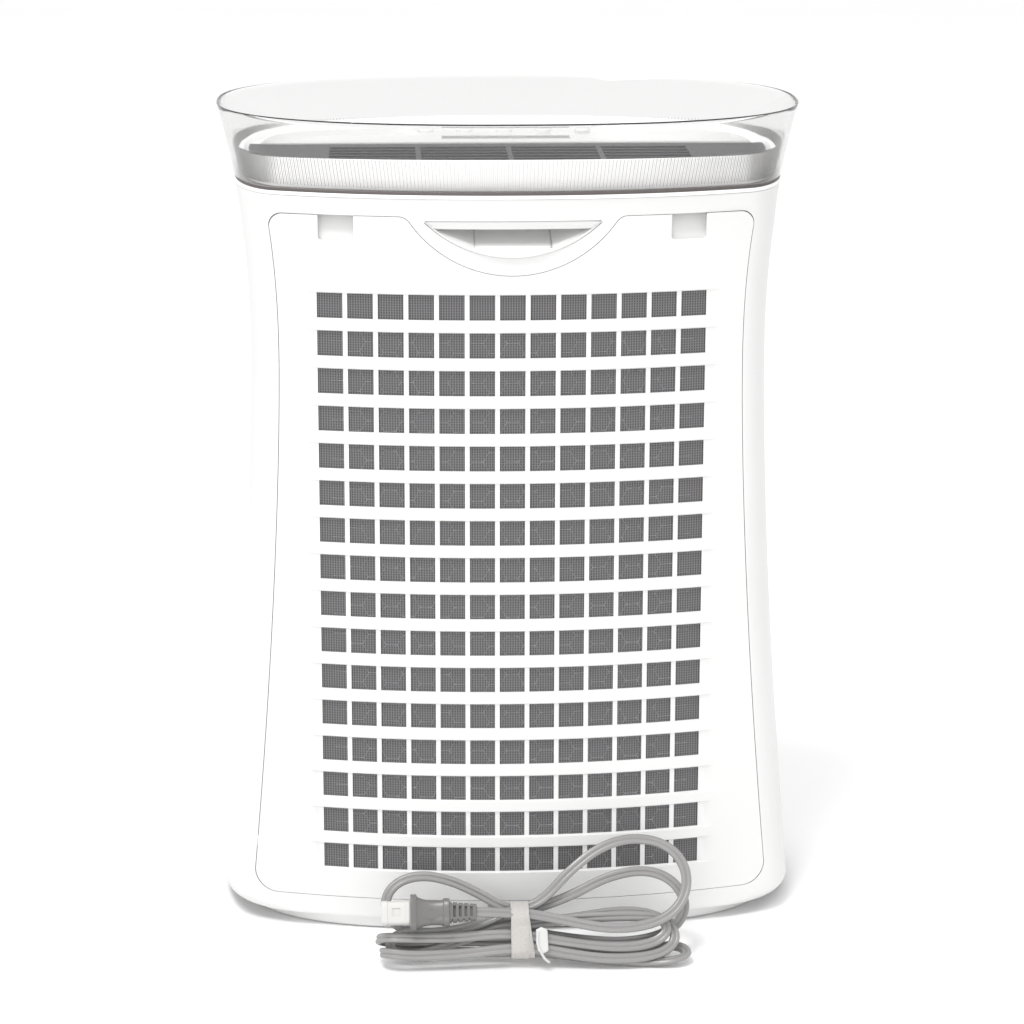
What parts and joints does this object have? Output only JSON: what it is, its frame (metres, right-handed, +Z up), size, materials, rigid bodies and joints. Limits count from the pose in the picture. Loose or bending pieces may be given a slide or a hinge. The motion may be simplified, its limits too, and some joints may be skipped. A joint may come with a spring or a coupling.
{
  "type": "air purifier",
  "caption": "Free-standing room air purifier with a waisted white housing, clear flared air collar, grilled rear panel, filters, radial fan and tied mains cord.",
  "frame": {"origin": "on the floor, under the middle of the body's box, taken without the cord", "axes": "+Z up, +Y towards the back with the grilled panel and the cord, +X to the right seen from the front"},
  "size_m": [0.4128, 0.3078, 0.577],
  "materials": {
    "white_housing": "satin moulded white ABS",
    "white_panel": "satin moulded white ABS",
    "white_base": "matt white ABS",
    "foot_rubber": "matt black rubber",
    "smoked_lens": "smoked acrylic",
    "prefilter_mesh": "dark grey woven nylon mesh",
    "tray_plastic": "matt white plastic",
    "zinc_steel": "zinc plated steel",
    "carbon_frame": "black plastic frame",
    "carbon_media": "activated carbon behind a honeycomb net",
    "hepa_card": "white filter frame",
    "hepa_paper": "pleated white filter paper",
    "duct_plastic": "matt grey plastic",
    "fan_plastic": "matt white plastic",
    "shaft_steel": "ground steel",
    "nut_plastic": "red plastic",
    "motor_can": "pressed steel",
    "white_deck": "satin moulded white ABS",
    "dark_grille": "matt dark grey plastic",
    "white_gloss": "high gloss white ABS",
    "circuit_board": "green glass-fibre board",
    "button_plastic": "satin light grey plastic",
    "seal_grey": "dark grey seal",
    "clear_collar": "clear moulded styrene",
    "sensor_black": "black plastic",
    "ion_blue": "dark blue plastic",
    "cord_grey": "grey PVC",
    "plug_brass": "plain brass",
    "cover_white": "off-white soft plastic",
    "tie_fabric": "warm grey woven strap",
    "tag_white": "white plastic"
  },
  "bodies": {
    "housing": {"rear_housing": "white_housing", "front_cover": "white_housing", "sensor_cover": "white_housing", "handle_cup": "white_housing", "base_plinth": "white_base", "foot_front_left": "foot_rubber", "foot_front_right": "foot_rubber", "foot_rear_left": "foot_rubber", "foot_rear_right": "foot_rubber", "indicator_lens": "smoked_lens", "display_lens": "smoked_lens", "filter_tray": "tray_plastic", "tray_screw_1": "zinc_steel", "tray_screw_2": "zinc_steel", "tray_screw_3": "zinc_steel", "tray_screw_4": "zinc_steel", "motor_screw_1": "zinc_steel", "motor_screw_2": "zinc_steel", "motor_screw_3": "zinc_steel", "motor_mount": "zinc_steel", "carbon_frame": "carbon_frame", "carbon_media": "carbon_media", "hepa_frame": "hepa_card", "hepa_pleats": "hepa_paper", "scroll_housing": "duct_plastic", "inlet_ring": "duct_plastic", "bearing_front": "shaft_steel", "bearing_rear": "shaft_steel", "motor_body": "motor_can", "top_deck": "white_deck", "outlet_grille": "dark_grille", "control_panel": "white_gloss", "display_board": "circuit_board", "main_board": "circuit_board", "collar_seal": "seal_grey", "air_collar": "clear_collar", "dust_sensor": "sensor_black", "ion_unit": "ion_blue", "cord_gland": "cord_grey", "cord_lead": "cord_grey", "cord_hank": "cord_grey", "cord_plug_lead": "cord_grey", "plug_body": "cord_grey", "plug_blade_upper": "plug_brass", "plug_blade_lower": "plug_brass", "blade_cover": "cover_white", "cord_tie": "tie_fabric", "tie_tag": "tag_white"},
    "rear_panel": {"rear_panel": "white_panel", "prefilter_mesh": "prefilter_mesh"},
    "fan": {"impeller": "fan_plastic", "motor_shaft": "shaft_steel", "shaft_nut": "nut_plastic"},
    "button_power": {"button_power": "button_plastic"},
    "button_speed": {"button_speed": "button_plastic"},
    "button_mode": {"button_mode": "button_plastic"},
    "button_timer": {"button_timer": "button_plastic"},
    "button_lock": {"button_lock": "button_plastic"}
  },
  "joints": [
    {"name": "rear_panel_tilt", "type": "hinge", "parent": "housing", "child": "rear_panel", "pos_m": [0, 0.1043, 0.026], "axis": [-1, 0, 0], "range_deg": [0, 8]},
    {"name": "fan_spin", "type": "hinge", "parent": "housing", "child": "fan", "pos_m": [0, 0, 0.235], "axis": [0, 1, 0], "continuous": true},
    {"name": "button_power_press", "type": "slide", "parent": "housing", "child": "button_power", "axis": [0, 0, -1], "range_m": [0, 0.0008], "stiffness_N_per_m": 300},
    {"name": "button_speed_press", "type": "slide", "parent": "housing", "child": "button_speed", "axis": [0, 0, -1], "range_m": [0, 0.0008], "stiffness_N_per_m": 300},
    {"name": "button_mode_press", "type": "slide", "parent": "housing", "child": "button_mode", "axis": [0, 0, -1], "range_m": [0, 0.0008], "stiffness_N_per_m": 300},
    {"name": "button_timer_press", "type": "slide", "parent": "housing", "child": "button_timer", "axis": [0, 0, -1], "range_m": [0, 0.0008], "stiffness_N_per_m": 300},
    {"name": "button_lock_press", "type": "slide", "parent": "housing", "child": "button_lock", "axis": [0, 0, -1], "range_m": [0, 0.0008], "stiffness_N_per_m": 300}
  ]
}
